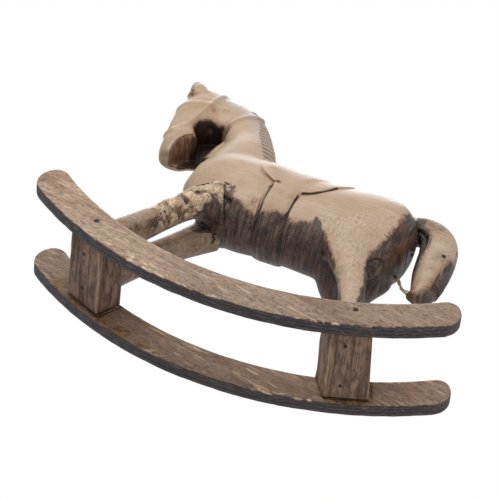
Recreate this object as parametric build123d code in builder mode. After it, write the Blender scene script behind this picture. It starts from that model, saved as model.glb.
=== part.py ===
from build123d import *
from math import cos, radians, sin
import os

# A small carved wooden rocking horse on two plywood rockers, in millimetres.
# +X runs to the nose, +Y to the horse's left and +Z up; the rockers touch the floor at z = 0.

ROCKER_RADIUS = 238
ROCKER_DEPTH = 25
ROCKER_THICKNESS = 9
ROCKER_HALF_ANGLE = 40.6
ROCKER_SOLE_CORNER = 16
ROCKER_TOP_CORNER = 8
OVERALL_WIDTH = 72
BAR_LENGTH = OVERALL_WIDTH - 2 * ROCKER_THICKNESS
BAR_WIDTH = 30
BAR_HEIGHT = 20.5
BAR_RAISE = 4.5
FRONT_BAR_ANGLE = 24.2
REAR_BAR_ANGLE = -23.3
REAR_BAR_FLARE = 4.5
REAR_BAR_RUN_OUT = 3.5
NAIL_RADIUS = 0.9
NAIL_HEAD_RADIUS = 1.7
NAIL_HEAD_THICKNESS = 0.8
HOOF_NAIL_LENGTH = 36
ROCKER_NAIL_LENGTH = 20
FRONT_NAIL_Y = 13.5
REAR_NAIL_Y = 16
FRONT_NAIL_ANGLE = 24.4
REAR_NAIL_ANGLE = -22.2
DOWEL_RADIUS = 3
LEG_DOWEL_LENGTH = 26
TAIL_DOWEL_LENGTH = 24
LEG_GAP = 5
MANE_GROOVES = 12
MANE_GROOVE_RADIUS = 0.9
MANE_GROOVE_LENGTH = 11
MANE_GROOVE_LEAN = -19.3
GLUE_STRAND_RADIUS = 0.9
SADDLE_PROUD = 1.2
EAR_Y = 6.5

# Oval sections: x, z, half height, half width (upright sections across the trunk).
TRUNK = [(-80.5, 156, 9, 8), (-77, 152.5, 22, 20), (-66, 152.5, 34, 27), (-46, 151, 41, 28),
         (-15, 147.5, 38, 27), (12, 147, 36.5, 27), (40, 148, 38, 28), (60, 152, 32, 24),
         (72, 154, 22, 18), (79, 155, 6, 6)]
# Oval sections: x, z, lean of the section, half depth, half width.
NECK = [(55, 157, 52, 33, 23), (59, 180, 48, 28, 20.5), (61.5, 198.5, 51, 21, 17),
        (66.5, 214, 45, 17, 14), (75.5, 226, 28, 17, 13), (88, 231, 12, 19, 12.5),
        (100.5, 235.5, 0, 18, 12)]
HEAD = [(103, 250, -80, 8, 7), (105, 242, -82, 17, 12), (106, 225, -88, 19, 13.5),
        (104, 205, -90, 18, 12.5), (103, 188, -93, 15, 11.5), (102, 173, -96, 12, 12),
        (101, 164, -96, 8, 9)]
EAR = [(116, 240, 62, 9, 5), (121, 248, 60, 6, 3.5), (126, 255.5, 55, 1.8, 1.4)]
# Oval sections: x, y, z, lean, half depth, half width.
FORELEG = [(47, 16, 138, -48, 18, 11.5), (55.5, 16, 117, -60, 11.5, 11), (67, 15.5, 94, -66, 9, 9.8),
           (77.5, 14.5, 72, -67, 9.6, 10.5), (86, 14, 54, -65.8, 10.2, 11.5),
           (93, 14, 38, -65.8, 10.4, 11.5)]
HIND_LEG = [(-52, 15.5, 150, -90, 27, 12.5), (-52, 15.5, 138, -92, 27, 13),
            (-51.5, 16, 117, -96, 20.5, 12.5), (-60.5, 16.5, 95, -108, 11.5, 10.5),
            (-72, 16.5, 70, -113, 8.5, 8.5), (-83, 16, 45, -113.3, 8, 8),
            (-88, 16, 34, -113.3, 8, 8)]
TAIL = [(-72, 178, 165, 10, 9.5), (-80, 181, 185, 10.5, 10), (-91, 175.5, 228, 12, 11),
        (-98, 160, 255, 13, 12), (-101, 142, 264, 12.5, 11.5), (-104, 124, 262, 10.5, 10),
        (-105, 110, 262, 9, 7.5)]
# Points (x, z) along the crest of the mane, and (x, y, z) along a strand of dried glue
# that hangs between the rump and the tip of the tail.
MANE_CREST = [(40, 203), (50, 228), (70, 244)]
GLUE_STRAND = [(-77, -10.5, 140), (-82.4, -8, 132), (-87.6, -6.5, 124), (-92, -4.5, 119.5), (-99, -2, 113)]


def section(x, y, z, lean):
    run = radians(lean)
    return Plane(origin=(x, y, z), x_dir=(0, 1, 0), z_dir=(cos(run), 0, sin(run)))


def bar_plane(angle):
    turn = radians(angle)
    reach = ROCKER_RADIUS - BAR_RAISE
    seat = (reach * sin(turn), BAR_LENGTH / 2, ROCKER_RADIUS - reach * cos(turn))
    return Plane(origin=seat, x_dir=(cos(turn), 0, sin(turn)), z_dir=(0, -1, 0))


def bar_sole_plane(angle):
    side = bar_plane(angle)
    return Plane(origin=side.origin, x_dir=side.x_dir, z_dir=side.y_dir)


def rocker(outer_y):
    start, span = -90 - ROCKER_HALF_ANGLE, 2 * ROCKER_HALF_ANGLE
    with BuildPart() as board:
        with BuildSketch(Plane.XZ.offset(-outer_y)) as side_view:
            with BuildLine():
                sole = CenterArc((0, ROCKER_RADIUS), ROCKER_RADIUS, start, span)
                top = CenterArc((0, ROCKER_RADIUS), ROCKER_RADIUS - ROCKER_DEPTH, start, span)
                Line(sole @ 0, top @ 0)
                Line(sole @ 1, top @ 1)
            make_face()
            fillet(side_view.vertices().sort_by_distance((0, ROCKER_RADIUS))[:2], ROCKER_TOP_CORNER)
            fillet(side_view.vertices().sort_by_distance((0, ROCKER_RADIUS))[-2:], ROCKER_SOLE_CORNER)
        extrude(amount=ROCKER_THICKNESS)
    return board.part


def nail(length):
    with BuildPart() as one:
        Cylinder(NAIL_RADIUS, length, align=(Align.CENTER, Align.CENTER, Align.MIN))
        Cylinder(NAIL_HEAD_RADIUS, NAIL_HEAD_THICKNESS, align=(Align.CENTER, Align.CENTER, Align.MIN))
    return one.part


# Every nail stands on its own plane: origin at the head, z_dir along the shank.
def hoof_nail_plane(angle, y):
    turn = radians(angle)
    reach = ROCKER_RADIUS - BAR_RAISE
    return Plane(origin=(reach * sin(turn), y, ROCKER_RADIUS - reach * cos(turn)),
                 x_dir=(0, 1, 0), z_dir=(-sin(turn), 0, cos(turn)))


def rocker_nail_plane(angle, radius, side):
    turn = radians(angle)
    return Plane(origin=(radius * sin(turn), side * OVERALL_WIDTH / 2, ROCKER_RADIUS - radius * cos(turn)),
                 x_dir=(1, 0, 0), z_dir=(0, -side, 0))


HOOF_NAIL_PLANES = [hoof_nail_plane(angle, side * y) for side in (1, -1)
                    for angle, y in ((FRONT_NAIL_ANGLE, FRONT_NAIL_Y), (REAR_NAIL_ANGLE, REAR_NAIL_Y))]
ROCKER_NAIL_SPOTS = [(FRONT_BAR_ANGLE + 0.4, 224), (REAR_BAR_ANGLE, 221)]
hoof_nail_set = [plane.location * nail(HOOF_NAIL_LENGTH) for plane in HOOF_NAIL_PLANES]
rocker_nail_sets = [[rocker_nail_plane(angle, radius, side).location * nail(ROCKER_NAIL_LENGTH)
                     for angle, radius in ROCKER_NAIL_SPOTS] for side in (1, -1)]

with BuildPart() as left_rocker:
    add(rocker(OVERALL_WIDTH / 2))
    add(rocker_nail_sets[0], mode=Mode.SUBTRACT)

with BuildPart() as right_rocker:
    add(rocker(-OVERALL_WIDTH / 2 + ROCKER_THICKNESS))
    add(rocker_nail_sets[1], mode=Mode.SUBTRACT)

with BuildPart() as front_crossbar:
    with BuildSketch(bar_plane(FRONT_BAR_ANGLE)):
        Rectangle(BAR_WIDTH, BAR_HEIGHT, align=(Align.CENTER, Align.MIN))
    extrude(amount=BAR_LENGTH)
    for nails in (hoof_nail_set, *rocker_nail_sets):
        add(nails, mode=Mode.SUBTRACT)

# The front side of the rear bar leans forward, so it is wider under the hooves,
# and its rear side is sawn off square, narrowing toward the left rocker.
with BuildPart() as rear_crossbar:
    with BuildSketch(bar_plane(REAR_BAR_ANGLE)):
        with BuildLine():
            Polyline((-BAR_WIDTH / 2, 0), (BAR_WIDTH / 2, 0), (BAR_WIDTH / 2 + REAR_BAR_FLARE, BAR_HEIGHT),
                     (-BAR_WIDTH / 2, BAR_HEIGHT), close=True)
        make_face()
    extrude(amount=BAR_LENGTH)
    with BuildSketch(bar_sole_plane(REAR_BAR_ANGLE)):
        with BuildLine():
            Polyline((-BAR_WIDTH, 0), (REAR_BAR_RUN_OUT - BAR_WIDTH / 2, 0), (-BAR_WIDTH / 2, -BAR_LENGTH),
                     (-BAR_WIDTH, -BAR_LENGTH), close=True)
        make_face()
    extrude(amount=BAR_HEIGHT, mode=Mode.SUBTRACT)
    for nails in (hoof_nail_set, *rocker_nail_sets):
        add(nails, mode=Mode.SUBTRACT)


def below_bar_top(angle):
    with BuildPart() as block:
        with BuildSketch(bar_plane(angle)):
            with Locations((0, BAR_HEIGHT)):
                Rectangle(4 * BAR_WIDTH, 3 * BAR_HEIGHT, align=(Align.CENTER, Align.MAX))
        extrude(amount=BAR_LENGTH)
    return block.part


# Side view of the room that takes the top of each foreleg: a leaning rear seat and a sloping top seat.
def foreleg_room(side):
    with BuildPart() as wedge:
        with BuildSketch(Plane.XZ.offset(-side * LEG_GAP)):
            with BuildLine():
                Polyline((47, 131), (76, 111), (140, 80), (140, -20), (-20, -20), (-20, 15), close=True)
            make_face()
        extrude(amount=-side * OVERALL_WIDTH)
    return wedge.part


# The haunch seat is a level face over the hind leg with an upright front end.
def hind_room(side):
    with BuildPart() as wedge:
        with BuildSketch(Plane.XZ.offset(-side * LEG_GAP)):
            with BuildLine():
                Polyline((-22, 135), (-90, 135), (-120, 0), (-20, 0), close=True)
            make_face()
        extrude(amount=-side * OVERALL_WIDTH)
    return wedge.part


def leg(stations, side, room, angle):
    with BuildPart() as limb:
        for x, y, z, lean, deep, wide in stations:
            with BuildSketch(section(x, side * y, z, lean)):
                Ellipse(wide, deep)
        loft()
        add(room, mode=Mode.INTERSECT)
        add(below_bar_top(angle), mode=Mode.SUBTRACT)
        add(hoof_nail_set, mode=Mode.SUBTRACT)
    return limb.part


def dowel(x, y, z, lean, length):
    with BuildPart() as peg:
        with BuildSketch(section(x, y, z, lean)):
            Circle(DOWEL_RADIUS)
        extrude(amount=length / 2, both=True)
    return peg.part


leg_dowel_set = [dowel(54, side * 15, 126, -55, LEG_DOWEL_LENGTH) for side in (1, -1)]
leg_dowel_set += [dowel(-50, side * 16, 135, -90, LEG_DOWEL_LENGTH) for side in (1, -1)]
tail_peg = dowel(-72, 0, 178, 165, TAIL_DOWEL_LENGTH)

# A carved saddle stands slightly proud of the back: trunk outline swelled, trimmed to the saddle's side view.
with BuildPart() as saddle:
    for x, z, high, wide in TRUNK:
        with BuildSketch(section(x, 0, z, 0)):
            Ellipse(wide + SADDLE_PROUD, high + SADDLE_PROUD)
    loft()
    with BuildSketch(Plane.XZ):
        with BuildLine():
            seat = Spline((42, 192), (34, 170), (18, 150))
            front = Spline(seat @ 1, (16, 128), (10, 100))
            base = Line(front @ 1, (-4, 100))
            back = Spline(base @ 1, (-1, 130), (1, 152))
            rear = Spline(back @ 1, (-6, 166), (-16, 180))
            Polyline(rear @ 1, (-16, 200), (42, 200), seat @ 0)
        make_face()
    extrude(amount=OVERALL_WIDTH / 2, both=True, mode=Mode.INTERSECT)

with BuildPart() as left_foreleg:
    add(leg(FORELEG, 1, foreleg_room(1), FRONT_BAR_ANGLE))
    add(leg_dowel_set, mode=Mode.SUBTRACT)

with BuildPart() as right_foreleg:
    add(leg(FORELEG, -1, foreleg_room(-1), FRONT_BAR_ANGLE))
    add(leg_dowel_set, mode=Mode.SUBTRACT)

with BuildPart() as left_hind_leg:
    add(leg(HIND_LEG, 1, hind_room(1), REAR_BAR_ANGLE))
    add(leg_dowel_set, mode=Mode.SUBTRACT)

with BuildPart() as right_hind_leg:
    add(leg(HIND_LEG, -1, hind_room(-1), REAR_BAR_ANGLE))
    add(leg_dowel_set, mode=Mode.SUBTRACT)

with BuildLine() as mane_line:
    Spline(*[(x, 0, z) for x, z in MANE_CREST])

# The tops of the legs are let into the body, each in a pocket of its own shape.
with BuildPart() as horse_body:
    for x, z, high, wide in TRUNK:
        with BuildSketch(section(x, 0, z, 0)):
            Ellipse(wide, high)
    loft()
    add(saddle.part)
    for x, z, lean, deep, wide in NECK:
        with BuildSketch(section(x, 0, z, lean)):
            Ellipse(wide, deep)
    loft()
    for x, z, lean, deep, wide in HEAD:
        with BuildSketch(section(x, 0, z, lean)):
            Ellipse(wide, deep)
    loft()
    for side in (1, -1):
        for x, z, lean, deep, wide in EAR:
            with BuildSketch(section(x, side * EAR_Y, z, lean)):
                Ellipse(wide, deep)
        loft()
    for step in range(MANE_GROOVES):
        crest = mane_line.line @ (step / (MANE_GROOVES - 1))
        with Locations(section(crest.X, crest.Y, crest.Z, MANE_GROOVE_LEAN)):
            Cylinder(MANE_GROOVE_RADIUS, MANE_GROOVE_LENGTH, mode=Mode.SUBTRACT)
    for limb in (left_foreleg, right_foreleg, left_hind_leg, right_hind_leg):
        add(limb.part, mode=Mode.SUBTRACT)
    add(leg_dowel_set, mode=Mode.SUBTRACT)
    add(tail_peg, mode=Mode.SUBTRACT)

# The rump is coped into the root of the tail, so the joint closes all round.
with BuildPart() as tail:
    for x, z, lean, deep, wide in TAIL:
        with BuildSketch(section(x, 0, z, lean)):
            Ellipse(wide, deep)
    loft()
    add(horse_body.part, mode=Mode.SUBTRACT)
    add(tail_peg, mode=Mode.SUBTRACT)

with BuildPart() as glue_strand:
    with BuildLine() as strand_line:
        Spline(*GLUE_STRAND)
    with BuildSketch(strand_line.line ^ 0):
        Circle(GLUE_STRAND_RADIUS)
    sweep()
    add(horse_body.part, mode=Mode.SUBTRACT)
    add(tail.part, mode=Mode.SUBTRACT)

with BuildPart() as hoof_nails:
    add(hoof_nail_set)

with BuildPart() as left_rocker_nails:
    add(rocker_nail_sets[0])

with BuildPart() as right_rocker_nails:
    add(rocker_nail_sets[1])

with BuildPart() as leg_dowels:
    add(leg_dowel_set)

with BuildPart() as tail_dowel:
    add(tail_peg)

os.makedirs("parts", exist_ok=True)
pieces = {
    "left_rocker": left_rocker, "right_rocker": right_rocker,
    "front_crossbar": front_crossbar, "rear_crossbar": rear_crossbar,
    "horse_body": horse_body, "tail": tail,
    "left_foreleg": left_foreleg, "right_foreleg": right_foreleg,
    "left_hind_leg": left_hind_leg, "right_hind_leg": right_hind_leg,
    "leg_dowels": leg_dowels, "tail_dowel": tail_dowel, "glue_strand": glue_strand,
    "hoof_nails": hoof_nails,
    "left_rocker_nails": left_rocker_nails, "right_rocker_nails": right_rocker_nails,
}
for name, piece in pieces.items():
    piece.part.label = name
    export_step(piece.part, f"parts/{name}.step")
    box = piece.part.bounding_box()
    print(name, round(piece.part.volume), len(piece.part.solids()), box.min, box.max)
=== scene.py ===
import math
from functools import reduce

import bpy
import numpy as np
import openvdb as vdb
from mathutils import Matrix, Vector


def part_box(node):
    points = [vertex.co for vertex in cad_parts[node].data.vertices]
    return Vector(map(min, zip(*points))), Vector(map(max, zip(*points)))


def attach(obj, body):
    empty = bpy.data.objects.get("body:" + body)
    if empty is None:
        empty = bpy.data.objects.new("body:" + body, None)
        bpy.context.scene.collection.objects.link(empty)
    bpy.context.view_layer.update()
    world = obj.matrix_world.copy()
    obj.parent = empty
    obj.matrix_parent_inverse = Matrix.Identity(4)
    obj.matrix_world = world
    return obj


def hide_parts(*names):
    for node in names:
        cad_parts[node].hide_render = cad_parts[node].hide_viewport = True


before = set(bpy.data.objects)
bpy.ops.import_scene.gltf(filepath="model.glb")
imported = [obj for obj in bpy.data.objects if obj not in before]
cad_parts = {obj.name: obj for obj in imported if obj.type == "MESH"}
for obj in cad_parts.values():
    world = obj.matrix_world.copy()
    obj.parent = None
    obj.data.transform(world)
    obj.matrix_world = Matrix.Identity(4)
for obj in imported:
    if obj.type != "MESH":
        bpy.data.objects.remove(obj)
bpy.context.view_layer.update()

# Carving is done in millimetres, in the frame of the CAD model: +X to the nose, +Y to the
# horse's left, +Z up, origin on the floor under the rockers. Meshes are made in metres.
MM = 0.001
# Cell sizes of the carving grids, and how many cells of distance they hold on each side.
HORSE_CELL = 0.62
BOARD_CELL = 0.5
BAR_CELL = 0.45
STRAND_CELL = 0.3
BAND = 14
# A denser mesh is thinned to this.
MOST_TRIANGLES = 180000


# ---- camera, floor and lights

# The camera's place, the way it looks, and its right.
EYE = Vector((-0.5180, 1.0809, -1.2712))
VIEW = Vector((0.2906, -0.5917, 0.7520))
ACROSS = Vector((-0.9051, 0.0850, 0.4167))


def put_in_scene(obj):
    bpy.context.scene.collection.objects.link(obj)
    return obj


def make_camera():
    data = bpy.data.cameras.new("camera")
    data.lens = 200.0
    data.sensor_width = 36.0
    data.clip_start = 0.05
    data.clip_end = 50.0
    camera = put_in_scene(bpy.data.objects.new("camera", data))
    forward = VIEW.normalized()
    right = (ACROSS - forward * ACROSS.dot(forward)).normalized()
    turn = Matrix((right, right.cross(forward), -forward)).transposed()
    camera.matrix_world = Matrix.Translation(EYE) @ turn.to_4x4()
    bpy.context.scene.camera = camera


def area_light(name, place, size, power, colour=(1, 1, 1)):
    """A round light aimed at the middle of the horse."""
    data = bpy.data.lights.new(name, "AREA")
    data.shape = "DISK"
    data.size = size
    data.energy = power
    data.color = colour
    light = put_in_scene(bpy.data.objects.new(name, data))
    light.location = place
    light.rotation_euler = (Vector((0, 0, 0.12)) - Vector(place)).to_track_quat("-Z", "Y").to_euler()


def display_colour(r, g, b):
    """A colour given as 0 to 255 steps of a display."""
    def linear(v):
        v /= 255
        return v / 12.92 if v <= 0.04045 else ((v + 0.055) / 1.055) ** 2.4
    return linear(r), linear(g), linear(b), 1.0


class Value:
    """An output of a shader node. Sums, products and mixes of values add the nodes they need."""

    def __init__(self, nodes, socket):
        self.nodes = nodes
        self.socket = socket

    def __add__(self, other):
        return self.nodes.math("ADD", self, other)

    def __sub__(self, other):
        return self.nodes.math("SUBTRACT", self, other)

    def __mul__(self, other):
        return self.nodes.math("MULTIPLY", self, other)

    def ramp(self, low, high, out_low=0.0, out_high=1.0):
        """A smooth change from out_low to out_high as this value goes from low to high."""
        return self.nodes.add("ShaderNodeMapRange", (self, low, high, out_low, out_high),
                              interpolation_type="SMOOTHSTEP")

    def between(self, first, second):
        """The colour that goes from the first to the second as this value goes from 0 to 1."""
        colours = [c if isinstance(c, Value) else display_colour(*c) for c in (first, second)]
        return self.nodes.add("ShaderNodeMix", {0: self, 6: colours[0], 7: colours[1]}, 2, data_type="RGBA")

    def covered(self, *layers):
        """This colour with others laid over it in turn, each a mask and a colour."""
        return reduce(lambda colour, layer: layer[0].between(colour, layer[1]), layers, self)


class Nodes:
    """The shader tree of a material or world."""

    def __init__(self, owner):
        owner.use_nodes = True
        self.owner = owner
        self.tree = owner.node_tree
        self.tree.nodes.clear()

    def add(self, kind, inputs=(), out=0, **settings):
        """Add a node, set its inputs by place or name, and return one of its outputs, if it has any."""
        node = self.tree.nodes.new(kind)
        for key, value in settings.items():
            setattr(node, key, value)
        for key, value in inputs.items() if isinstance(inputs, dict) else enumerate(inputs):
            if isinstance(value, Value):
                self.tree.links.new(value.socket, node.inputs[key])
            else:
                node.inputs[key].default_value = value
        return Value(self, node.outputs[out]) if node.outputs else None

    def math(self, operation, *values):
        return self.add("ShaderNodeMath", values, operation=operation)

    def stretch(self, place, scale, shift=(0, 0, 0), turn=0):
        """Places scaled, shifted, and turned about Y by an angle in degrees."""
        return self.add("ShaderNodeMapping", {"Vector": place, "Scale": scale, "Location": shift,
                                              "Rotation": (0, math.radians(turn), 0)})

    def noise(self, place, scale, detail=3.0, rough=0.55, distortion=0.0, out=0):
        """Noise with lumps of about 1 / scale mm, which may differ along X, Y and Z."""
        if isinstance(scale, tuple):
            place, scale = self.stretch(place, scale), 1.0
        return self.add("ShaderNodeTexNoise", {"Vector": place, "Scale": scale, "Detail": detail,
                                               "Roughness": rough, "Distortion": distortion}, out)

    def bend(self, place, sway, reach):
        """Places pushed about by wavy noise, as far as reach in X, Y and Z."""
        wave = self.noise(place, sway, 2.0, out=1)
        return self.add("ShaderNodeVectorMath", (wave, reach, place), operation="MULTIPLY_ADD")

    def painted(self, *names):
        """The masks of these names that are painted on the mesh."""
        return [self.add("ShaderNodeAttribute", out="Fac", attribute_name=name) for name in names]

    def finish(self, colour, roughness, height, depth_mm, specular, coat=0.0, coat_rough=0.3, metal=0.0):
        bump = self.add("ShaderNodeBump", {"Strength": 1.0, "Distance": depth_mm * MM, "Height": height})
        shader = self.add("ShaderNodeBsdfPrincipled", {
            "Base Color": colour, "Roughness": roughness, "Specular IOR Level": specular, "Metallic": metal,
            "Coat Weight": coat, "Coat Roughness": coat_rough, "Normal": bump})
        self.add("ShaderNodeOutputMaterial", {"Surface": shader})
        return self.owner


def new_material(name):
    """The nodes of a new material, and object coordinates in millimetres."""
    n = Nodes(bpy.data.materials.new(name))
    place = n.add("ShaderNodeTexCoord", out="Object")
    return n, n.add("ShaderNodeVectorMath", {0: place, "Scale": 1 / MM}, operation="SCALE")


def make_floor():
    bpy.ops.mesh.primitive_plane_add(size=5.0, location=(0, 0, -0.0002))
    floor = bpy.context.object
    floor.name = "floor"
    # One-sided floor: seen from underneath it lets the view through.
    n = Nodes(bpy.data.materials.new("pale_floor"))
    shade = n.add("ShaderNodeBsdfDiffuse", {"Color": (0.86, 0.86, 0.86, 1)})
    clear = n.add("ShaderNodeBsdfTransparent")
    back = n.add("ShaderNodeNewGeometry", out="Backfacing")
    n.add("ShaderNodeOutputMaterial", {"Surface": n.add("ShaderNodeMixShader", (back, shade, clear))})
    floor.data.materials.append(n.owner)
    # The floor takes shadows but keeps no light off the underside.
    floor.visible_diffuse = False
    floor.visible_glossy = False
    floor.visible_shadow = False


def make_stage():
    make_floor()
    scene = bpy.context.scene
    scene.world = bpy.data.worlds.new("studio")
    n = Nodes(scene.world)
    light = n.add("ShaderNodeBackground", {"Color": (0.93, 0.95, 1.0, 1), "Strength": 0.62})
    seen = n.add("ShaderNodeBackground", {"Color": (1, 1, 1, 1), "Strength": 1.0})
    direct = n.add("ShaderNodeLightPath", out="Is Camera Ray")
    n.add("ShaderNodeOutputWorld", {"Surface": n.add("ShaderNodeMixShader", (direct, light, seen))})
    area_light("key", (0.55, 1.1, 0.45), 0.8, 7.6, (1.0, 0.985, 0.96))
    area_light("rim", (0.5, -0.2, 1.4), 0.9, 6.4, (0.84, 0.92, 1.0))
    area_light("fill", (-1.3, 0.7, 0.1), 0.9, 2.2)
    scene.view_settings.view_transform = "Standard"
    scene.view_settings.look = "None"
    scene.view_settings.exposure = 0.0
    scene.view_settings.gamma = 1.0


# ---- masks and distances

def smooth_union(a, b, k):
    """The union of two distance blocks, blended over about k."""
    h = np.clip(0.5 + 0.5 * (b - a) / k, 0, 1)
    return b + (a - b) * h - k * h * (1 - h)


def fade(value, start, end):
    """0 at start and 1 at end, smooth between. Either may be the larger."""
    t = np.clip((value - start) / (end - start), 0, 1)
    return t * t * (3 - 2 * t)


def bell(value, width):
    """1 where the value is 0, falling away over about the width on both sides."""
    return np.exp(-(value / width) ** 2)


def near_surface(depth, reach):
    """1 at the surface, falling away over about the reach below it."""
    return np.exp(-np.maximum(depth, 0) / reach)


def inside(distance, soft):
    """1 where a signed distance is negative, with a soft edge."""
    return fade(distance, soft, -soft)


def most(*masks):
    """The largest of several masks at each point."""
    return reduce(np.maximum, masks)


def line_distance(x, z, points):
    """Distance in the side view to an open line of points."""
    best = 1e9
    for (ax, az), (bx, bz) in zip(points, points[1:]):
        ex, ez = bx - ax, bz - az
        wx, wz = x - ax, z - az
        t = np.clip((wx * ex + wz * ez) / (ex * ex + ez * ez), 0, 1)
        best = np.minimum(best, (wx - t * ex) ** 2 + (wz - t * ez) ** 2)
    return np.sqrt(best)


def polygon_distance(x, z, corners):
    """Signed distance in the side view to a closed polygon, negative inside."""
    corners = [*corners, corners[0]]
    within = False
    for (ax, az), (bx, bz) in zip(corners, corners[1:]):
        if az != bz:
            within ^= ((az > z) != (bz > z)) & (x < (bx - ax) * (z - az) / (bz - az) + ax)
    distance = line_distance(x, z, corners)
    return np.where(within, -distance, distance)


def smooth_line(points, per=6):
    """Catmull-Rom points through a short list, in two or three dimensions."""
    p = [np.array(q, float) for q in points]
    p = [2 * p[0] - p[1]] + p + [2 * p[-1] - p[-2]]
    out = []
    for a, b, c, d in zip(p, p[1:], p[2:], p[3:]):
        for t in np.arange(per) / per:
            out.append(0.5 * (2 * b + (c - a) * t + (2 * a - 5 * b + 4 * c - d) * t * t
                              + (3 * b - a - 3 * c + d) * t ** 3))
    return [tuple(q) for q in [*out, p[-2]]]


def euler(degrees):
    """The turn about X, then Y, then Z, as an array."""
    x, y, z = (Matrix.Rotation(math.radians(v), 3, axis) for v, axis in zip(degrees, "XYZ"))
    return np.array(z @ y @ x, np.float32)


# ---- fields for carving

class Field:
    """A block of signed distances in millimetres, negative in the wood."""

    def __init__(self, low, high, cell):
        self.cell = cell
        self.low = np.floor(np.array(low) / cell).astype(int)
        high = np.ceil(np.array(high) / cell).astype(int)
        self.size = tuple(high - self.low + 1)
        axes = [(np.arange(a, b + 1) * cell).astype(np.float32) for a, b in zip(self.low, high)]
        self.x = axes[0][:, None, None]
        self.y = axes[1][None, :, None]
        self.z = axes[2][None, None, :]
        self.d = None

    def measure(self, mesh):
        """The distance block of a closed mesh."""
        points = np.empty(len(mesh.vertices) * 3, np.float32)
        mesh.vertices.foreach_get("co", points)
        mesh.calc_loop_triangles()
        corners = np.empty(len(mesh.loop_triangles) * 3, np.int32)
        mesh.loop_triangles.foreach_get("vertices", corners)
        grid = vdb.FloatGrid.createLevelSetFromPolygons(
            points.reshape(-1, 3) / MM, triangles=corners.reshape(-1, 3).astype(np.uint32),
            transform=vdb.createLinearTransform(voxelSize=self.cell), halfWidth=BAND)
        block = np.empty(self.size, np.float32)
        grid.copyToArray(block, ijk=tuple(int(v) for v in self.low))
        return block

    def node(self, name):
        return self.measure(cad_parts[name].data)

    def window(self, low, high):
        """The part of the block between two corners, with its coordinates."""
        cut = []
        for low_edge, high_edge, first, count in zip(low, high, self.low, self.size):
            a = int(np.clip(math.floor(low_edge / self.cell) - first, 0, count))
            b = int(np.clip(math.ceil(high_edge / self.cell) - first + 1, 0, count))
            cut.append(slice(a, max(a, b)))
        return tuple(cut), self.x[cut[0]], self.y[:, cut[1]], self.z[:, :, cut[2]]

    def merge(self, cut, shape, k, add=False):
        """Add a shape to the wood or take it away, with an edge rounded by about k."""
        sign = 1 if add else -1
        self.d[cut] = sign * smooth_union(sign * self.d[cut], shape, k)

    def tube(self, points, radii, k=1.5, add=False):
        """Cut or add a tapering tube along 3-D points."""
        pts = [np.array(p, np.float32) for p in points]
        if np.isscalar(radii):
            radii = [radii] * len(pts)
        reach = max(radii) + 3 * k + 2 * self.cell
        cut, x, y, z = self.window(np.min(pts, axis=0) - reach, np.max(pts, axis=0) + reach)
        best = 1e9
        for a, b, ra, rb in zip(pts, pts[1:], radii, radii[1:]):
            e = b - a
            q = (x - a[0], y - a[1], z - a[2])
            t = np.clip(sum(v * w for v, w in zip(q, e)) / max(float(e @ e), 1e-6), 0, 1)
            gap = np.sqrt(sum((v - t * w) ** 2 for v, w in zip(q, e)))
            best = np.minimum(best, gap - (ra + (rb - ra) * t))
        self.merge(cut, best, k, add)

    def blob(self, centre, radii, k=2.0, add=True, turn=(0, 0, 0)):
        """Cut or add an ellipsoid, turned by angles in degrees."""
        reach = max(radii) + 3 * k + 2 * self.cell
        c = np.array(centre, np.float32)
        cut, x, y, z = self.window(c - reach, c + reach)
        offset = (x - c[0], y - c[1], z - c[2])
        q = [sum(v * w for v, w in zip(offset, axis)) / r for axis, r in zip(euler(turn).T, radii)]
        size = np.sqrt(sum(v ** 2 for v in q))
        grad = np.sqrt(sum((v / r) ** 2 for v, r in zip(q, radii)))
        self.merge(cut, size * (size - 1) / np.maximum(grad, 1e-4), k, add)

    def pit(self, centre, radii, k=2.0, turn=(0, 0, 0)):
        self.blob(centre, radii, k, False, turn)

    def noise(self, size_mm, seed, stretch=(1, 1, 1)):
        """Smooth seeded noise over the block, about -1 to 1, with lumps of size_mm."""
        rng = np.random.default_rng(seed)
        steps = [np.asarray(a, np.float32) / (size_mm * s) for a, s in zip((self.x, self.y, self.z), stretch)]
        firsts = [math.floor(float(a.min())) - 1 for a in steps]
        counts = [math.ceil(float(a.max())) - f + 3 for a, f in zip(steps, firsts)]
        lattice = rng.uniform(-1, 1, counts).astype(np.float32)
        for axis, step in enumerate(steps):
            place = step.ravel() - firsts[axis]
            base = np.floor(place).astype(int)
            t = place - base
            shape = [1, 1, 1]
            shape[axis] = -1
            weights = ((1 - t) ** 3, 3 * t ** 3 - 6 * t ** 2 + 4, 3 * (t + t ** 2 - t ** 3) + 1, t ** 3)
            total = 0
            for offset, w in enumerate(weights, -1):
                spots = np.clip(base + offset, 0, lattice.shape[axis] - 1)
                total = total + np.take(lattice, spots, axis=axis) * (w / 6).reshape(shape).astype(np.float32)
            lattice = total
        return lattice * 2.2

    def blurred(self, radius_mm, passes=2):
        """The block averaged over a cube of the given radius, several times."""
        radius = max(1, round(radius_mm / self.cell))
        out = self.d.astype(np.float32)
        for _ in range(passes):
            for axis in range(3):
                pad = [(0, 0)] * 3
                pad[axis] = (radius + 1, radius)
                total = np.cumsum(np.pad(out, pad, mode="edge"), axis=axis, dtype=np.float64)
                count = out.shape[axis]
                high = np.take(total, range(2 * radius + 1, 2 * radius + 1 + count), axis=axis)
                low = np.take(total, range(count), axis=axis)
                out = ((high - low) / (2 * radius + 1)).astype(np.float32)
        return out

    def sample(self, block, points):
        """Values of a block at points, by linear steps between its cells."""
        place = points / self.cell - self.low
        base = np.clip(np.floor(place).astype(int), 0, np.array(self.size) - 2)
        t = (place - base).astype(np.float32)
        total = np.zeros(len(place), np.float32)
        for corner in np.ndindex(2, 2, 2):
            total += np.prod(np.where(corner, t, 1 - t), axis=1) * block[tuple((base + corner).T)]
        return total

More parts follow.
